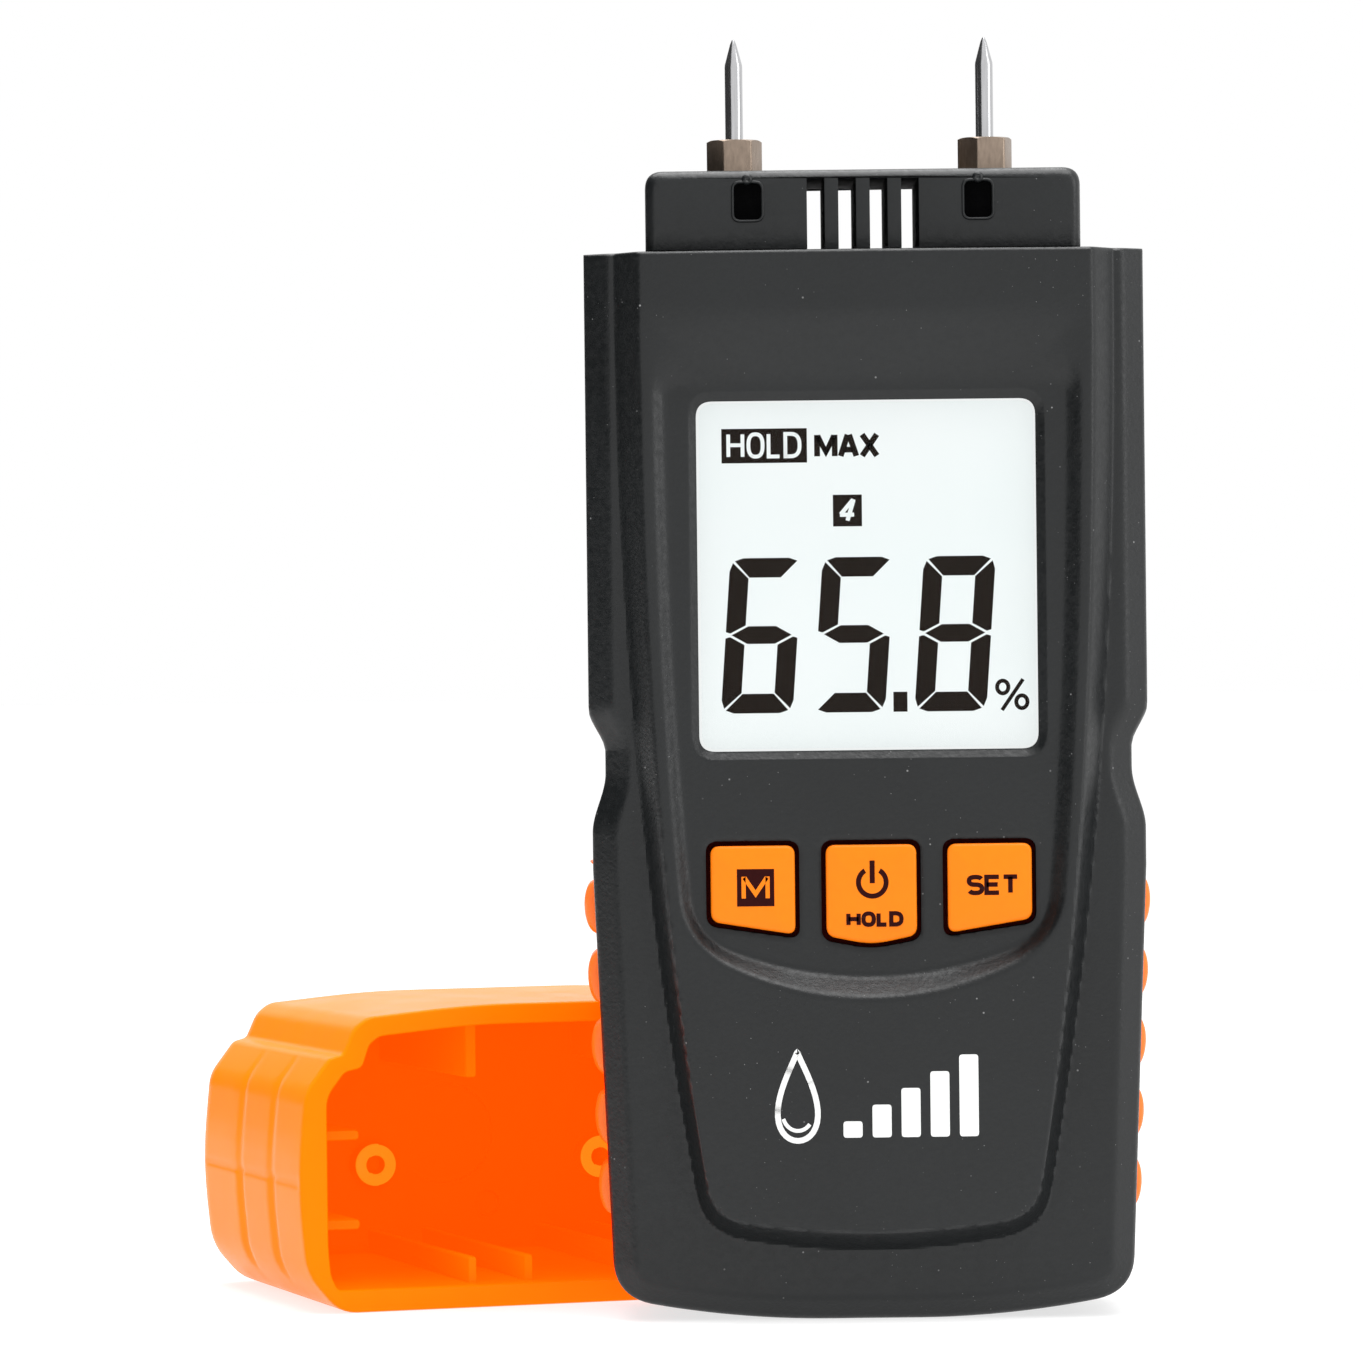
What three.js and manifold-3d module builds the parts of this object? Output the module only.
// Two-pin moisture meter with its protective cap lying beside it, in millimetres.
// +Z runs up the meter to the pins, -Y is the display side and +X is to the display's right.
// The origin is where the centre line meets the surface that the meter stands on,
// and the two electrode pins lie in the plane y = 0.
import * as THREE from 'three';
import { mergeVertices } from 'three/addons/utils/BufferGeometryUtils.js';
import Module from 'manifold-3d';

const wasm = await Module();
wasm.setup();

// ---------- driving dimensions ----------
const GAP = 0.3; // clearance between neighbouring pieces

// case outline, seen from the display side
const CASE_TOP = 118.3;
const UPPER_HALF = 31.0; // half width above the waist
const WAIST_HALF = 29.2;
const LOWER_HALF = 30.7; // half width just below the waist
const WAIST = { top: 67.9, high: 63.2, low: 60.8, foot: 54.2 };
const TAPER_TOP = 50; // the sides draw in below this height
const TAPER = 0.0405; // half width lost for each millimetre of height
const FOOT_BOW = 108; // radius of the bowed bottom end
const FOOT_LAND = 5; // half width of the flat that the meter stands on
const FOOT_CORNER = 4;

// case depth, measured along Y
const LEDGE_Y = -12.7; // flat ledge around the raised panel
const SIDE_FRONT_Y = -10.5; // where the front chamfer meets the side
const SPLIT_Y = -2; // parting plane, where the front and back shells meet
const SIDE_BACK_Y = 9.2;
const BACK_Y = 11.7;
const FRONT_CHAMFER = 2.6;
const BACK_CHAMFER = 2.4;
const WALL = 2.2;

// raised front panel and the recess in it
const PANEL = { half: 25.05, narrowing: 6.63, length: 104, power: 2.6, foot: 9.6, corner: 4 };
const PANEL_BASE = { half: 27.5, narrowing: 7.9, length: 103.8, power: 2.35, foot: 7.8, corner: 4.5 };
const PANEL_BOW = 80; // radius of the panel's bottom edge
const PANEL_EDGE_Y = -16.4;
const PANEL_CROWN_Y = -17.7; // the panel is crowned from side to side
const PANEL_CROWN_RADIUS = 240;
const RECESS_Y = -15.3; // floor of the recess
const RECESS_RIM = { top: 111.0, inset: 1.2, foot: 36.1, bow: 36, corner: 4.5 };
const RECESS_FLOOR = { top: 104.2, inset: 2.8, foot: 38.1, bow: 43, corner: 4 };
const FRONT_INNER_Y = -13.1; // inside of the front wall behind the recess

// display
const DISPLAY = { half: 18.75, bottom: 63.1, top: 101.8, corner: 1.8 };

// buttons
const BUTTON_TOP = 52.85;
const BUTTON_FACE_Y = -16.3;
const BUTTON_FLANGE_FRONT_Y = -12.8;
const BUTTON_FLANGE_BACK_Y = -11.9;
const BUTTON_FLANGE = 1.0; // how far the flange reaches past the cap of the button
const BUTTON_CORNER = 1.1;
const BUTTON_HOLE = 0.4; // clearance round the cap of the button
const SIDE_BUTTON = { inner: 8.3, outer: 17.8, innerFoot: 42.8, outerFoot: 44.3 };
const POWER_BUTTON = { half: 5.1, foot: 41.6, sideFoot: 42.6 };

// probe head and electrodes
const HEAD = { half: 24.1, top: 127.4, front: -12, back: 10.5, corner: 2, edge: 1.2 };
const SLOT = { count: 4, pitch: 3.48, width: 1.94, ceiling: 0.9 };
const HEAD_WINDOW = { x: 12.75, half: 1.5, bottom: 121.9, top: 125.9, corner: 0.7, depth: 3 };
const PIN_X = 14.05; // half the pin spacing
const PIN = { radius: 1.0, tip: 142.8, shoulder: 139.9, foot: 108.5 };
const NUT = { flats: 5.5, top: 131.4, bore: 1.35, leftTurn: 6.6, rightTurn: 12.5 };
const SOCKET = { radius: 2.5, bore: 1.3, foot: 106.5, top: 127.1 };

// battery bay in the back
const CELL = { radius: 5.2, length: 44.5, pitch: 11, y: 4.4, foot: 22.0 };
const TRAY = { half: 19.4, wall: 1.2, foot: 15.4, top: 69.4, front: -2.6, back: 7.1 };
const SPRING = { turns: 3.5, wide: 3.6, narrow: 1.8, foot: 17.5, top: 21.3, wire: 0.25 };
const CONTACT = { half: 4, front: 0.4, back: 6.8, foot: 67.2, top: 67.8 };
const DOOR = { half: 20.9, foot: 15.2, top: 71.0, thickness: 1.8, travelFoot: 6.6 };
const DOOR_GROOVES = { count: 3, half: 7, foot: 60.4, pitch: 2.6, width: 1.2, depth: 0.6 }; // thumb grip

// protective cap: u across its width, w up from the face it lies on, v from the mouth to the closed end
const CAP = { half: 35, middle: 17.35, length: 44.5, endWall: 2.4, yaw: 19.25, mouthX: -31.3, mouthY: 11.4 };
const CAP_OUTSIDE = [
  [30.1, 0], [34, 4.5], [35, 14.7], [34, 25], [31.1, 28.8], [29.5, 29.2], [28.2, 32.1], [26.6, 33.3],
  [14, 34.4], [0, 34.7],
];
const CAP_INSIDE = [
  [30.4, 2.6], [31.2, 4.2], [31.5, 7.4], [31.5, 24.4], [29.3, 27.2], [27.3, 27.6], [26.4, 30.2],
  [25.2, 31.1], [14, 32.1], [0, 32.4],
];
const CAP_FLOOR = 2.6;
const CAP_BOSS = { radius: 2.5, bore: 1.1, height: 3, depth: 0.5, w: 13.5 }; // the pin tips end in these
const CAP_RIB = { half: 0.6, low: 8 }; // half thickness, and where the ribs start
const CAP_FLOOR_RIBS = { places: [-13.8, -7.1, 7.1, 13.8], top: 5.6, low: 2.5 };
const CAP_SIDE_RIBS = { places: [9.3, 19.5], reach: 25.4, root: 33 };
const CAP_ROOF_RIBS = { places: [-12, 12], foot: 25.6 };

// ---------- solids ----------
// A closed three.js geometry as a solid that can be cut and joined.
function toSolid(geometry) {
  const bare = geometry.clone();
  bare.deleteAttribute('normal');
  bare.deleteAttribute('uv');
  const merged = mergeVertices(bare, 1e-4);
  const vertProperties = Float32Array.from(merged.attributes.position.array);
  const triVerts = Uint32Array.from(merged.index.array);
  return new wasm.Manifold(new wasm.Mesh({ numProp: 3, vertProperties, triVerts }));
}

function toGeometry(solid) {
  const mesh = solid.getMesh();
  const geometry = new THREE.BufferGeometry();
  geometry.setAttribute('position', new THREE.BufferAttribute(mesh.vertProperties, 3));
  geometry.setIndex(new THREE.BufferAttribute(mesh.triVerts, 1));
  return geometry;
}

function block(x0, x1, y0, y1, z0, z1) {
  const geometry = new THREE.BoxGeometry(x1 - x0, y1 - y0, z1 - z0);
  geometry.translate((x0 + x1) / 2, (y0 + y1) / 2, (z0 + z1) / 2);
  return toSolid(geometry);
}

// A cylinder between two values along 'y' or 'z', centred on the other two coordinates.
function rod(axis, radius, from, to, x, other, sides = 20) {
  const geometry = new THREE.CylinderGeometry(radius, radius, Math.abs(to - from), sides);
  const middle = (from + to) / 2;
  if (axis === 'z') {
    geometry.rotateX(Math.PI / 2);
    geometry.translate(x, other, middle);
  } else {
    geometry.translate(x, middle, other);
  }
  return toSolid(geometry);
}

// A solid of revolution about a vertical line: profile points are [radius, z].
function turned(profile, x, y, sides = 20) {
  const geometry = new THREE.LatheGeometry(profile.map(([r, z]) => new THREE.Vector2(r, z)), sides);
  geometry.rotateX(Math.PI / 2);
  geometry.translate(x, y, 0);
  return toSolid(geometry);
}

// A closed solid through flat rings with the same number of points, stacked along Y.
// Each section is { ring: [[x, z], ...], y }.
function loft(sections) {
  const flat = (ring) => ring.map(([x, z]) => new THREE.Vector2(x, z));
  const clockwise = THREE.ShapeUtils.isClockWise(flat(sections[0].ring));
  const rings = sections.map(({ ring }) => (clockwise ? [...ring].reverse() : ring));
  const count = rings[0].length;
  const positions = rings.flatMap((ring, s) => ring.flatMap(([x, z]) => [x, sections[s].y, z]));
  const triangles = [];
  for (let s = 0; s + 1 < sections.length; s += 1) {
    for (let i = 0; i < count; i += 1) {
      const a = s * count + i;
      const b = s * count + ((i + 1) % count);
      triangles.push([a, b, b + count], [a, b + count, a + count]);
    }
  }
  const close = (ring, start, flipped) => {
    THREE.ShapeUtils.triangulateShape(flat(ring), []).forEach((face) => {
      const corners = face.map((i) => start + i);
      triangles.push(flipped ? corners.reverse() : corners);
    });
  };
  close(rings[0], 0, true);
  close(rings[rings.length - 1], (rings.length - 1) * count, false);
  const point = (i) => new THREE.Vector3().fromArray(positions, 3 * i);
  const volume = triangles.reduce(
    (sum, [a, b, c]) => sum + point(a).dot(point(b).cross(point(c))),
    0,
  );
  const geometry = new THREE.BufferGeometry();
  geometry.setAttribute('position', new THREE.Float32BufferAttribute(positions, 3));
  geometry.setIndex((volume < 0 ? triangles.map(([a, b, c]) => [a, c, b]) : triangles).flat());
  return toSolid(geometry);
}

const prism = (ring, y0, y1) => loft([{ ring, y: y0 }, { ring, y: y1 }]);

// A tube along a smooth curve, its section a circle drawn with twice as many sides as arcs.
function tube(points, radius, steps, arcs = 3) {
  const section = new THREE.Shape();
  section.absarc(0, 0, radius, 0, 2 * Math.PI);
  const curve = new THREE.CatmullRomCurve3(points.map((p) => new THREE.Vector3(...p)));
  const options = { steps, bevelEnabled: false, extrudePath: curve, curveSegments: arcs };
  return toSolid(new THREE.ExtrudeGeometry(section, options));
}

// ---------- outlines ----------
const ease = (t) => t * t * (3 - 2 * t);

// A value that goes smoothly from a at height z0 to b at height z1.
const blend = (a, b, z0, z1, z) => a + (b - a) * ease((z - z0) / (z1 - z0));

function caseHalf(z) {
  if (z >= WAIST.top) return UPPER_HALF;
  if (z >= WAIST.high) return blend(WAIST_HALF, UPPER_HALF, WAIST.high, WAIST.top, z);
  if (z >= WAIST.low) return WAIST_HALF;
  if (z >= WAIST.foot) return blend(LOWER_HALF, WAIST_HALF, WAIST.foot, WAIST.low, z);
  return LOWER_HALF - TAPER * Math.max(0, TAPER_TOP - z);
}

// The half width of a panel outline, which narrows faster and faster on the way down.
const narrowed = ({ half, narrowing, length, power }) => (z) => (
  half - narrowing * (Math.max(0, CASE_TOP - z) / length) ** power
);
const panelHalf = narrowed(PANEL);
const panelBaseHalf = narrowed(PANEL_BASE);

const quadratic = (a, b, c, steps) => new THREE.QuadraticBezierCurve(
  new THREE.Vector2(...a), new THREE.Vector2(...b), new THREE.Vector2(...c),
).getPoints(steps).map((p) => [p.x, p.y]);

// A symmetrical ring in x and z. Its right edge follows half(z) through the stations,
// then a rounded corner, then a bowed foot with a flat land in the middle.
function outline({ top, topRound = 0, half, stations, corner, foot, bow, land = 0 }) {
  const footZ = (x) => {
    const reach = Math.max(0, Math.abs(x) - land);
    return foot + bow - Math.sqrt(bow * bow - reach * reach);
  };
  const side = half(foot + corner);
  const right = topRound
    ? quadratic([half(top) - topRound, top], [half(top), top], [half(top - topRound), top - topRound], 4)
    : [[half(top), top]];
  stations.forEach((z) => right.push([half(z), z]));
  const low = footZ(side);
  const cornerTop = [half(low + corner), low + corner];
  const cornerFoot = [side - corner, footZ(side - corner)];
  right.push(...quadratic(cornerTop, [side, low], cornerFoot, 5));
  const span = side - corner - land;
  [0.67, 0.33].forEach((t) => right.push([land + span * t, footZ(land + span * t)]));
  if (land) right.push([land, foot]);
  const left = right.map(([x, z]) => [-x, z]).reverse();
  return land ? [...right, ...left] : [...right, [0, foot], ...left];
}

const CASE_STATIONS = [67.9, 66.6, 65.4, 64.2, 63.2, 60.8, 59.2, 57.5, 55.8, 54.2, 50];
const PANEL_STATIONS = [95, 78, 66, 56, 46, 36, 26];
const RECESS_STATIONS = [95, 84, 72, 60, 52];

function caseOutline(inset, topInset = 0) {
  return outline({
    top: CASE_TOP - topInset,
    half: (z) => caseHalf(z) - inset,
    stations: CASE_STATIONS,
    corner: Math.max(1.5, FOOT_CORNER - inset / 2),
    foot: inset,
    bow: FOOT_BOW,
    land: FOOT_LAND,
  });
}

function panelOutline(half, foot, corner, topInset = 0) {
  return outline({ top: CASE_TOP - topInset, half, stations: PANEL_STATIONS, corner, foot, bow: PANEL_BOW });
}

function recessOutline({ top, inset, foot, bow, corner }) {
  const half = (z) => panelHalf(z) - inset;
  return outline({ top, topRound: 2, half, stations: RECESS_STATIONS, corner, foot, bow });
}

// The ring between two rings of equal length, or beyond the second one where t is more than 1.
const between = (a, b, t) => a.map(([x, z], i) => [x + (b[i][0] - x) * t, z + (b[i][1] - z) * t]);

// A ring with every corner rounded.
function rounded(corners, radius, steps = 3) {
  return corners.flatMap((corner, i) => {
    const here = new THREE.Vector2(...corner);
    const before = new THREE.Vector2(...corners[(i + corners.length - 1) % corners.length]);
    const after = new THREE.Vector2(...corners[(i + 1) % corners.length]);
    const from = before.sub(here).setLength(radius).add(here);
    const to = after.sub(here).setLength(radius).add(here);
    return quadratic(from.toArray(), corner, to.toArray(), steps);
  });
}

const rectangle = (x0, x1, z0, z1) => [[x1, z1], [x0, z1], [x0, z0], [x1, z0]];

// ---------- assembly ----------
const group = new THREE.Group();
group.name = 'moisture_meter';

const finish = (color, roughness, metalness = 0, extra = {}) => () => new THREE.MeshStandardMaterial({
  color, roughness, metalness, ...extra,
});
const blackPlastic = finish(0x3b3c3e, 0.55);
const orangePlastic = finish(0xff8a10, 0.4);
const orangeRubber = finish(0xf27c14, 0.7);
const clearPlastic = finish(0xf2f8f8, 0.15, 0, { transparent: true, opacity: 0.4 });
const displayGlass = finish(0xdfe8e6, 0.2);
const whitePlastic = finish(0xf4f4f0, 0.5);
const blackRubber = finish(0x1f1f20, 0.85);
const greenBoard = finish(0x1c5a34, 0.5);
const darkComponent = finish(0x17181a, 0.4);
const steel = finish(0xc6c8ca, 0.25, 1);
const nickel = finish(0x8a7c70, 0.4, 1);
const brass = finish(0xc39a52, 0.35, 1);
const wireRed = finish(0xb02a22, 0.6);
const cellSleeve = finish(0x2f6f9e, 0.4);

function add(name, solid, material, parent = group) {
  const mesh = new THREE.Mesh(toGeometry(solid), material());
  mesh.name = name;
  parent.add(mesh);
}

const mirrored = (ring) => ring.map(([x, z]) => [-x, z]);
const SIDES = [['left', -1], ['right', 1]];

// ---------- screws that hold the two shells together ----------
const SCREWS = [[-24.5, 110], [24.5, 110], [-23.8, 18], [23.8, 18]];
const SCREW = { shank: 1.3, head: 2.5, headFront: 9.6, headBack: 11.5, tip: -8.5 };
const CROSS = { half: 0.4, reach: 1.7, depth: 0.9 }; // the driver recess
const BOSS_RADIUS = 3.1;
const FRONT_BOSS_Y = -11.5;

function screw([x, z]) {
  const body = rod('y', SCREW.shank, SCREW.tip, SCREW.headFront + 0.1, x, z, 12)
    .add(rod('y', SCREW.head, SCREW.headFront, SCREW.headBack, x, z, 20));
  const cross = [[CROSS.half, CROSS.reach], [CROSS.reach, CROSS.half]].map(([dx, dz]) => block(
    x - dx, x + dx, SCREW.headBack - CROSS.depth, SCREW.headBack + 1, z - dz, z + dz,
  ));
  return body.subtract(cross[0]).subtract(cross[1]);
}

// ---------- electrode passages through the top of the case ----------
const socketPassage = (x) => rod('z', SOCKET.radius + GAP, 112, CASE_TOP + 2, x, 0, 24);

// ---------- buttons ----------
// Each button is a cap that shows through the panel, on a wider flange that stops it falling out.
function buttonRing(name, grow) {
  if (name === 'power') {
    const { half, foot, sideFoot } = POWER_BUTTON;
    return rounded([
      [half + grow, BUTTON_TOP + grow],
      [-half - grow, BUTTON_TOP + grow],
      [-half - grow, sideFoot - grow],
      [0, foot - grow],
      [half + grow, sideFoot - grow],
    ], BUTTON_CORNER + grow / 2);
  }
  const { inner, outer, innerFoot, outerFoot } = SIDE_BUTTON;
  const ring = rounded([
    [outer + grow, BUTTON_TOP + grow],
    [inner - grow, BUTTON_TOP + grow],
    [inner - grow, innerFoot - grow],
    [outer + grow, outerFoot - grow],
  ], BUTTON_CORNER + grow / 2);
  return name === 'mode' ? mirrored(ring) : ring;
}

const BUTTONS = ['mode', 'power', 'set'];

function button(name) {
  const flange = prism(buttonRing(name, BUTTON_FLANGE), BUTTON_FLANGE_FRONT_Y, BUTTON_FLANGE_BACK_Y);
  const cap = loft([
    { ring: buttonRing(name, 0), y: BUTTON_FLANGE_FRONT_Y + 0.2 },
    { ring: buttonRing(name, 0), y: BUTTON_FACE_Y + 0.5 },
    { ring: buttonRing(name, -0.5), y: BUTTON_FACE_Y },
  ]);
  return flange.add(cap);
}

// ---------- front shell ----------
function panel() {
  const base = panelOutline(panelBaseHalf, PANEL_BASE.foot, PANEL_BASE.corner);
  const edge = panelOutline(panelHalf, PANEL.foot, PANEL.corner);
  const reach = PANEL_EDGE_Y - LEDGE_Y;
  const beyond = PANEL_CROWN_Y - 0.5;
  const wedge = loft([
    { ring: between(base, edge, -0.2), y: LEDGE_Y - 0.2 * reach },
    { ring: between(base, edge, (beyond - LEDGE_Y) / reach), y: beyond },
  ]);
  const width = PANEL_BASE.half + 2;
  const steps = 16;
  const crown = new THREE.Shape();
  crown.moveTo(width, -8);
  crown.lineTo(-width, -8);
  for (let i = 0; i <= steps; i += 1) {
    const x = -width + (2 * width * i) / steps;
    crown.lineTo(x, PANEL_CROWN_Y + (x * x) / (2 * PANEL_CROWN_RADIUS));
  }
  const slab = new THREE.ExtrudeGeometry(crown, { depth: CASE_TOP, bevelEnabled: false });
  return wedge.intersect(toSolid(slab));
}

function recess() {
  const floor = recessOutline(RECESS_FLOOR);
  const rim = recessOutline(RECESS_RIM);
  const beyond = PANEL_CROWN_Y - 0.8;
  const open = floor.map(([x, z], i) => {
    const rimY = PANEL_CROWN_Y + (rim[i][0] ** 2) / (2 * PANEL_CROWN_RADIUS);
    const t = (beyond - RECESS_Y) / (rimY - RECESS_Y);
    return [x + (rim[i][0] - x) * t, z + (rim[i][1] - z) * t];
  });
  return loft([{ ring: floor, y: RECESS_Y }, { ring: open, y: beyond }]);
}

function frontCase() {
  const full = caseOutline(0);
  let shell = loft([
    { ring: full, y: SPLIT_Y - GAP / 2 },
    { ring: full, y: SIDE_FRONT_Y },
    { ring: caseOutline(FRONT_CHAMFER), y: LEDGE_Y },
  ]).add(panel()).subtract(recess());
  const inner = caseOutline(WALL, WALL);
  shell = shell.subtract(loft([{ ring: inner, y: 1 }, { ring: inner, y: -9 }]));
  const throat = panelOutline((z) => panelBaseHalf(z) - 2, PANEL_BASE.foot + 2, 3, WALL);
  const pocket = panelOutline((z) => panelHalf(z) - 1.5, PANEL.foot + 1.5, 3, WALL);
  shell = shell.subtract(loft([
    { ring: throat, y: -8 },
    { ring: throat, y: -10.9 },
    { ring: pocket, y: FRONT_INNER_Y },
  ]));
  SCREWS.forEach(([x, z]) => {
    shell = shell.add(rod('y', BOSS_RADIUS, FRONT_BOSS_Y, SPLIT_Y - GAP / 2, x, z));
    shell = shell.subtract(rod('y', SCREW.shank + 0.2, SCREW.tip - 1.5, 1, x, z, 12));
  });
  const { half, bottom, top, corner } = DISPLAY;
  shell = shell.subtract(prism(rounded(rectangle(-half, half, bottom, top), corner, 4), -19, -12));
  BUTTONS.forEach((name) => {
    shell = shell.subtract(prism(buttonRing(name, BUTTON_HOLE), -19, -12));
  });
  SIDES.forEach(([, side]) => {
    shell = shell.subtract(socketPassage(side * PIN_X));
  });
  return shell;
}

// ---------- back shell ----------
const GRIP = { foot: 10.4, top: 50.6, front: 0.6, back: 8.6, depth: 0.9 };
const GRIP_RIB = { first: 13.9, pitch: 7.9, half: 2.9, base: 0.15, rise: 1.35 };

// The outline of a side grip, or of the pocket that it sits in where there is a clearance.
function gripRing(side, clearance) {
  const ring = [];
  const low = GRIP.foot - clearance;
  const high = GRIP.top + clearance;
  const { first, pitch, half, base, rise } = GRIP_RIB;
  const steps = 40;
  for (let i = 0; i <= steps; i += 1) {
    const z = low + ((high - low) * i) / steps;
    const fromRib = Math.abs(z - first - pitch * Math.round((z - first) / pitch));
    const bump = Math.sqrt(Math.max(0, 1 - (fromRib / half) ** 2));
    ring.push([side * (caseHalf(z) + (clearance ? 3 : base + (rise - base) * bump)), z]);
  }
  ring.push([side * (caseHalf(high) - GRIP.depth - clearance), high]);
  ring.push([side * (caseHalf(low) - GRIP.depth - clearance), low]);
  return ring;
}

function backCase() {
  const full = caseOutline(0);
  const outer = loft([
    { ring: full, y: SPLIT_Y + GAP / 2 },
    { ring: full, y: SIDE_BACK_Y },
    { ring: caseOutline(BACK_CHAMFER, BACK_CHAMFER), y: BACK_Y },
  ]);
  const inner = caseOutline(WALL, WALL);
  let shell = outer.subtract(loft([
    { ring: inner, y: SPLIT_Y - 1 },
    { ring: inner, y: 7.4 },
    { ring: caseOutline(WALL + 2, WALL + 2), y: 9.5 },
  ]));
  const pad = block(-DOOR.half - 2.4, DOOR.half + 2.4, 7.4, BACK_Y, DOOR.travelFoot - 2, DOOR.top + 2);
  shell = shell.add(pad.intersect(outer));
  SCREWS.forEach(([x, z]) => {
    shell = shell.add(rod('y', BOSS_RADIUS, SPLIT_Y + GAP / 2, 10, x, z).intersect(outer));
    shell = shell.subtract(rod('y', SCREW.shank + GAP, SPLIT_Y - 1, 12, x, z, 12));
    shell = shell.subtract(rod('y', SCREW.head + GAP, SCREW.headFront - GAP, 13, x, z));
  });
  const doorBack = BACK_Y - DOOR.thickness - GAP;
  const doorway = [DOOR.travelFoot, DOOR.top + GAP]; // the door slides down into the lower part of it
  shell = shell.subtract(block(-DOOR.half - GAP, DOOR.half + GAP, doorBack, 13, ...doorway));
  const bay = TRAY.half - 2;
  shell = shell.subtract(block(-bay, bay, 5, 13, DOOR.foot + 1.6, TRAY.top - 1.6));
  SIDES.forEach(([, side]) => {
    shell = shell.subtract(prism(gripRing(side, GAP), GRIP.front - GAP, GRIP.back + GAP));
    shell = shell.subtract(socketPassage(side * PIN_X));
  });
  return shell;
}

function batteryDoor() {
  const { half, foot, top, thickness } = DOOR;
  const plate = prism(rounded(rectangle(-half, half, foot, top), 1.2), BACK_Y - thickness, BACK_Y);
  const { count, half: reach, foot: low, pitch, width, depth } = DOOR_GROOVES;
  let door = plate;
  for (let i = 0; i < count; i += 1) {
    const z = low + pitch * i;
    door = door.subtract(block(-reach, reach, BACK_Y - depth, BACK_Y + 1, z, z + width));
  }
  return door;
}

// ---------- probe head ----------
function probeHead() {
  const { half, top, front, back, corner, edge } = HEAD;
  const foot = CASE_TOP + GAP;
  const face = (inset) => {
    const side = half - inset;
    const roof = top - inset;
    return [
      ...quadratic([side, roof - corner], [side, roof], [side - corner, roof], 4),
      ...quadratic([corner - side, roof], [-side, roof], [-side, roof - corner], 4),
      [-half + inset, foot],
      [half - inset, foot],
    ];
  };
  const lip = edge * 0.3;
  let head = loft([
    { ring: face(edge), y: front },
    { ring: face(lip), y: front + lip },
    { ring: face(0), y: front + edge },
    { ring: face(0), y: back - edge },
    { ring: face(lip), y: back - lip },
    { ring: face(edge), y: back },
  ]);
  for (let i = 0; i < SLOT.count; i += 1) {
    const x = (i - (SLOT.count - 1) / 2) * SLOT.pitch;
    const wall = SLOT.width / 2;
    head = head.subtract(block(x - wall, x + wall, front - 1, back + 1, foot - 1, top - SLOT.ceiling));
  }
  SIDES.forEach(([, side]) => {
    const { x, half: reach, bottom, top: high, corner: bend, depth } = HEAD_WINDOW;
    const window = rounded(rectangle(side * x - reach, side * x + reach, bottom, high), bend);
    head = head.subtract(prism(window, front - 1, front + depth));
    head = head.subtract(rod('z', SOCKET.radius + GAP, foot - 1, top + 1, side * PIN_X, 0, 24));
  });
  return head;
}

function electrode(x) {
  const { radius, tip, shoulder, foot } = PIN;
  return turned([[0, foot], [radius, foot], [radius, shoulder], [0.35, tip - 0.5], [0, tip]], x, 0, 16);
}

// A hexagonal collet, one of its flats turned that many degrees away from the front.
function collet(x, turn) {
  const height = NUT.top - HEAD.top - GAP;
  const radius = NUT.flats / Math.sqrt(3);
  const geometry = new THREE.CylinderGeometry(radius, radius, height, 6);
  geometry.rotateX(Math.PI / 2);
  geometry.rotateZ(THREE.MathUtils.degToRad(30 + turn));
  geometry.translate(x, 0, HEAD.top + GAP + height / 2);
  const wide = radius + 1;
  const above = NUT.top + 0.001;
  const profile = [[0, HEAD.top], [wide, HEAD.top], [wide, NUT.top - 0.9], [2.9, above], [0, above]];
  const bore = rod('z', NUT.bore, HEAD.top, NUT.top + 1, x, 0);
  return toSolid(geometry).intersect(turned(profile, x, 0, 24)).subtract(bore);
}

function socket(x) {
  return rod('z', SOCKET.radius, SOCKET.foot, SOCKET.top, x, 0)
    .subtract(rod('z', SOCKET.bore, PIN.foot - 0.5, SOCKET.top + 1, x, 0));
}

// ---------- electronics ----------
const BOARD = { half: 20.8, foot: 24, top: 112, front: -6.6, back: -5.0 };

const LCD = { half: 18.9, foot: 59.5, top: 102, front: -12.8, back: -10.8 };
const BACKLIGHT = { half: 18.9, foot: 63.6, top: 102, front: -10.5, back: -8.2 };
const LCD_FRAME = { half: 20.6, foot: 57.6, top: 103.9, wall: 1.4 };
const ZEBRA = { half: 17, foot: 60, top: 62.2, front: -10.5 };
const MEMBRANE = { half: 20, foot: 40, top: 55.4, corner: 1.5, front: -10.9, back: -10.3 };
const SWITCH = { x: 13, half: 3, middle: 47.8, front: -8.6, plunger: 1.7, plungerFront: -10 };
const CHIP = { half: 5, foot: 78, top: 88, thickness: 1.4 };
const BUZZER = { radius: 5, z: 100, back: -0.8 };
const WIRE_ROUTE = [[14.05, 0, 106.2], [14.05, -0.4, 103], [13, -2.6, 98], [12, -3.6, 94], [12, -4.0, 90]];
const WIRE_RADIUS = 0.6;

const plate = ({ half, foot, top, front }, back) => block(-half, half, front, back, foot, top);

function lcdFrame() {
  const { half, foot, top, wall } = LCD_FRAME;
  const back = BOARD.front - GAP;
  const opening = rectangle(-half + wall, half - wall, foot + wall, top - wall);
  return prism(rectangle(-half, half, foot, top), LCD.front, back)
    .subtract(prism(opening, LCD.front - 1, back + 1));
}

function keySwitch(x) {
  const { half, middle, front, plunger, plungerFront } = SWITCH;
  return block(x - half, x + half, front, BOARD.front - GAP, middle - half, middle + half)
    .add(rod('y', plunger, plungerFront, front + 0.1, x, middle, 16));
}

function keypadMembrane() {
  const { half, foot, top, corner, front, back } = MEMBRANE;
  return prism(rounded(rectangle(-half, half, foot, top), corner), front, back);
}

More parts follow.
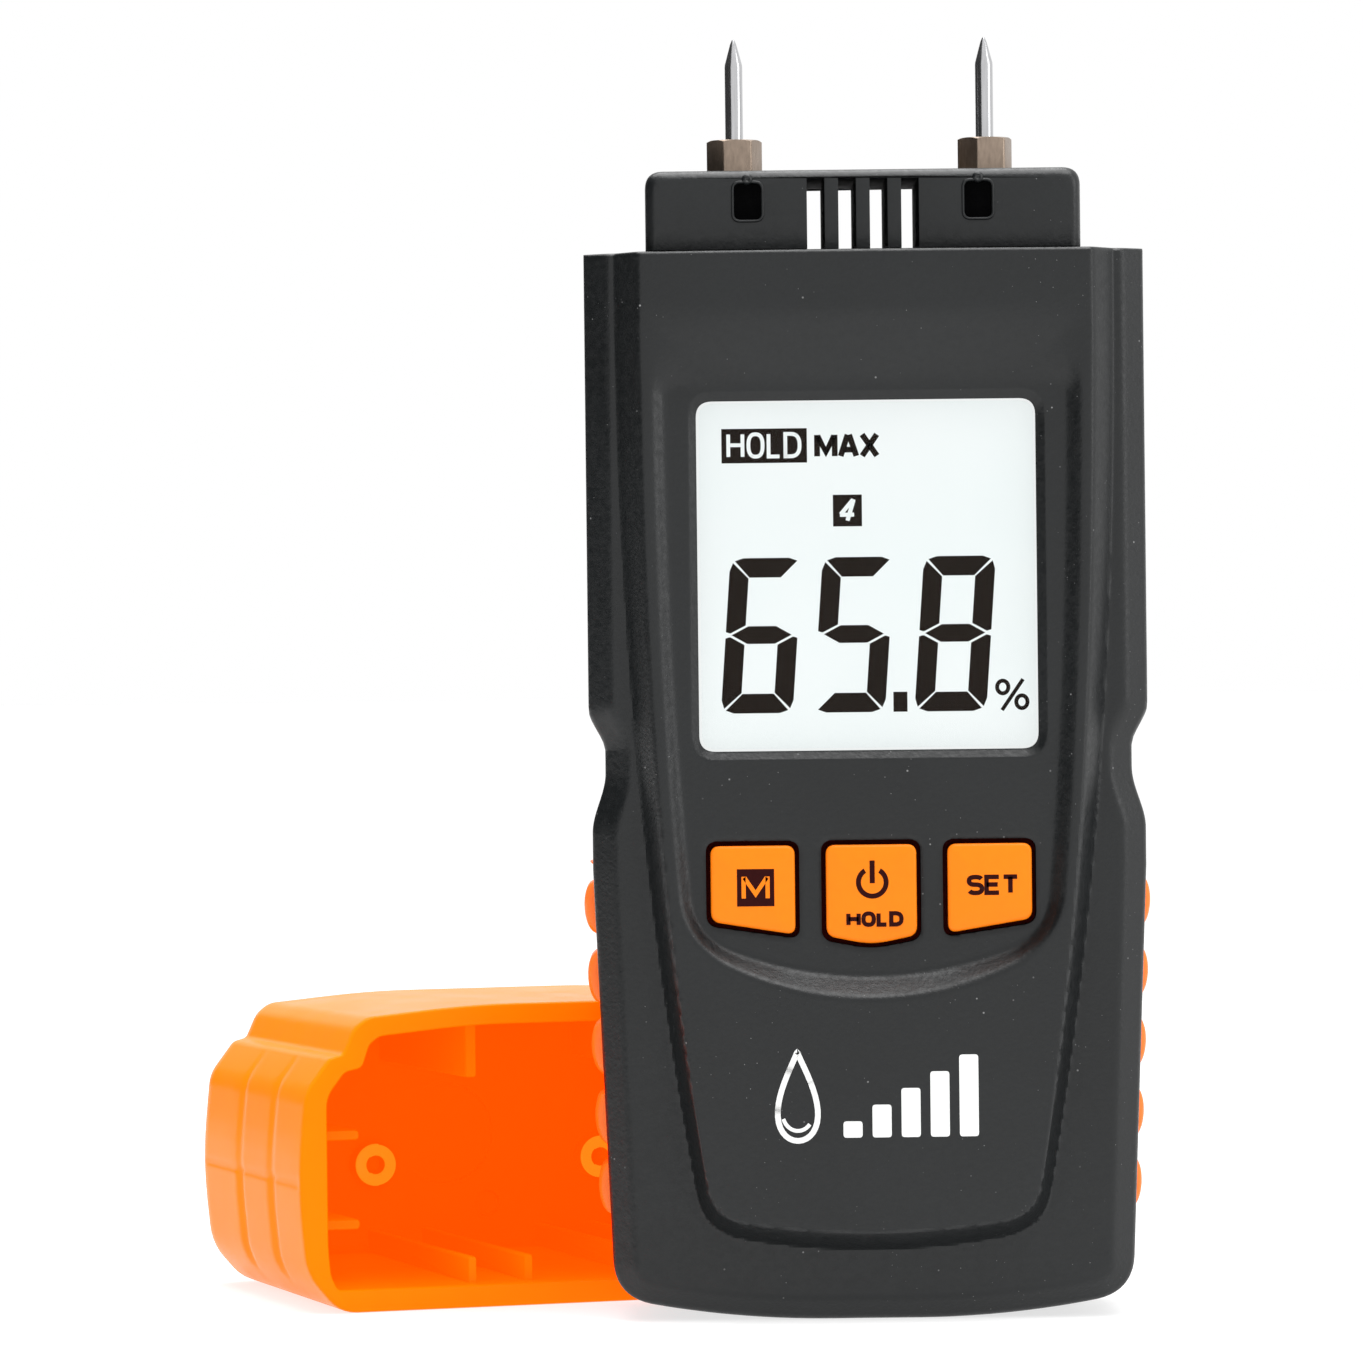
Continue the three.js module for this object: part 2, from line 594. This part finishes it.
function displayWindow() {
  const { half, bottom, top, corner } = DISPLAY;
  const lens = rectangle(-half + GAP, half - GAP, bottom + GAP, top - GAP);
  return prism(rounded(lens, corner - 0.2, 4), RECESS_Y + 0.1, FRONT_INNER_Y - 0.1);
}

function circuitBoard() {
  const notches = SCREWS.map(([x, z]) => rod('y', BOSS_RADIUS + GAP, -8, -3, x, z));
  return notches.reduce((solid, notch) => solid.subtract(notch), plate(BOARD, BOARD.back));
}

function tray() {
  const { half, wall, foot, top, front, back } = TRAY;
  return block(-half, half, front, back, foot, top)
    .subtract(block(-half + wall, half - wall, front + wall, back + 1, foot + wall, top - wall));
}

function cell(x) {
  const { radius, length, y, foot } = CELL;
  const top = foot + length;
  const profile = [
    [0, foot], [radius - 0.6, foot], [radius, foot + 0.6], [radius, top - 1.6],
    [radius - 0.6, top - 1], [1.9, top - 1], [1.9, top], [0, top],
  ];
  return turned(profile, x, y);
}

// The conical spring under a cell.
function cellSpring(x) {
  const { turns, wide, narrow, foot, top, wire } = SPRING;
  const steps = 42;
  const points = [];
  for (let i = 0; i <= steps; i += 1) {
    const t = i / steps;
    const angle = 2 * Math.PI * turns * t;
    const radius = wide + (narrow - wide) * t;
    const y = CELL.y + radius * Math.sin(angle);
    points.push([x + radius * Math.cos(angle), y, foot + (top - foot) * t]);
  }
  return tube(points, wire, steps);
}

function cellContact(x) {
  const { half, front, back, foot, top } = CONTACT;
  return block(x - half, x + half, front, back, foot, top);
}

// ---------- protective cap ----------
const bothSides = (half) => [...half, ...half.slice(0, -1).reverse().map(([u, w]) => [-u, w])];

// A profile drawn in towards its middle, but never below the floor.
const drawnIn = (half, inset, floor) => half.map(([u, w]) => {
  const height = CAP.middle + (w - CAP.middle) * (1 - inset / CAP.middle);
  return [u * (1 - inset / CAP.half), Math.max(floor, height)];
});

function protectiveCap() {
  const inside = CAP.length - CAP.endWall;
  const outer = loft([
    { ring: bothSides(CAP_OUTSIDE), y: 0 },
    { ring: bothSides(drawnIn(CAP_OUTSIDE, 0.3, 0)), y: CAP.length - 4 },
    { ring: bothSides(drawnIn(CAP_OUTSIDE, 0.8, 0)), y: CAP.length - 1.6 },
    { ring: bothSides(drawnIn(CAP_OUTSIDE, 2.4, 0)), y: CAP.length },
  ]);
  const cavity = loft([
    { ring: bothSides(CAP_INSIDE), y: -1 },
    { ring: bothSides(drawnIn(CAP_INSIDE, 0.4, CAP_FLOOR)), y: inside - 1.5 },
    { ring: bothSides(drawnIn(CAP_INSIDE, 1.6, CAP_FLOOR)), y: inside },
  ]);
  const rib = (u0, u1, from, w0, w1) => block(u0, u1, from, inside + 1, w0, w1);
  const { half, low } = CAP_RIB;
  const solids = SIDES.map(([, side]) => (
    rod('y', CAP_BOSS.radius, inside - CAP_BOSS.height, inside + 1, side * PIN_X, CAP_BOSS.w, 24)
  ));
  CAP_FLOOR_RIBS.places.forEach((u) => {
    solids.push(rib(u - half, u + half, CAP_FLOOR_RIBS.low, 1, CAP_FLOOR_RIBS.top));
  });
  CAP_SIDE_RIBS.places.forEach((w) => {
    solids.push(rib(CAP_SIDE_RIBS.reach, CAP_SIDE_RIBS.root, low, w - half, w + half));
    solids.push(rib(-CAP_SIDE_RIBS.root, -CAP_SIDE_RIBS.reach, low, w - half, w + half));
  });
  CAP_ROOF_RIBS.places.forEach((u) => {
    solids.push(rib(u - half, u + half, low, CAP_ROOF_RIBS.foot, CAP_SIDE_RIBS.root));
  });
  let ribs = cavity.intersect(solids.reduce((a, b) => a.add(b)));
  SIDES.forEach(([, side]) => {
    const mouth = inside - CAP_BOSS.height - 1;
    const end = inside - CAP_BOSS.depth;
    ribs = ribs.subtract(rod('y', CAP_BOSS.bore, mouth, end, side * PIN_X, CAP_BOSS.w, 16));
  });
  return outer.subtract(cavity.subtract(ribs));
}

// ---------- the meter ----------
add('front_case', frontCase(), blackPlastic);
add('back_case', backCase(), blackPlastic);
add('probe_head', probeHead(), blackPlastic);

SCREWS.forEach((place, i) => add(`case_screw_${i + 1}`, screw(place), steel));

SIDES.forEach(([name, side]) => {
  add(`${name}_side_grip`, prism(gripRing(side, 0), GRIP.front, GRIP.back), orangeRubber);
  add(`${name}_electrode_pin`, electrode(side * PIN_X), steel);
  add(`${name}_pin_nut`, collet(side * PIN_X, NUT[`${name}Turn`]), nickel);
  add(`${name}_pin_socket`, socket(side * PIN_X), brass);
  add(`${name}_socket_wire`, tube(WIRE_ROUTE.map(([x, y, z]) => [side * x, y, z]), WIRE_RADIUS, 14), wireRed);
});

BUTTONS.forEach((name) => {
  add(`${name}_button`, button(name), orangePlastic);
});
add('keypad_membrane', keypadMembrane(), blackRubber);
BUTTONS.forEach((name, i) => {
  add(`${name}_switch`, keySwitch((i - 1) * SWITCH.x), darkComponent);
});

add('display_window', displayWindow(), clearPlastic);
add('lcd_glass', plate(LCD, LCD.back), displayGlass);
add('lcd_backlight', plate(BACKLIGHT, BACKLIGHT.back), whitePlastic);
add('lcd_frame', lcdFrame(), blackPlastic);
add('zebra_strip', plate(ZEBRA, BOARD.front - GAP), blackRubber);

const onBoard = BOARD.back + GAP;
add('circuit_board', circuitBoard(), greenBoard);
add('main_chip', plate({ ...CHIP, front: onBoard }, onBoard + CHIP.thickness), darkComponent);
add('buzzer', rod('y', BUZZER.radius, onBoard, BUZZER.back, 0, BUZZER.z, 24), darkComponent);

// ---------- battery bay ----------
add('battery_tray', tray(), blackPlastic);
[-1, 0, 1].forEach((column, i) => {
  const x = column * CELL.pitch;
  add(`battery_${i + 1}`, cell(x), cellSleeve);
  add(`battery_spring_${i + 1}`, cellSpring(x), steel);
  add(`battery_contact_${i + 1}`, cellContact(x), nickel);
});
add('battery_door', batteryDoor(), blackPlastic);

// ---------- the cap, lying on its back face beside the meter ----------
const capGroup = new THREE.Group();
capGroup.position.set(CAP.mouthX, CAP.mouthY, 0);
capGroup.rotation.z = THREE.MathUtils.degToRad(CAP.yaw);
group.add(capGroup);
add('protective_cap', protectiveCap(), orangePlastic, capGroup);

export default group;
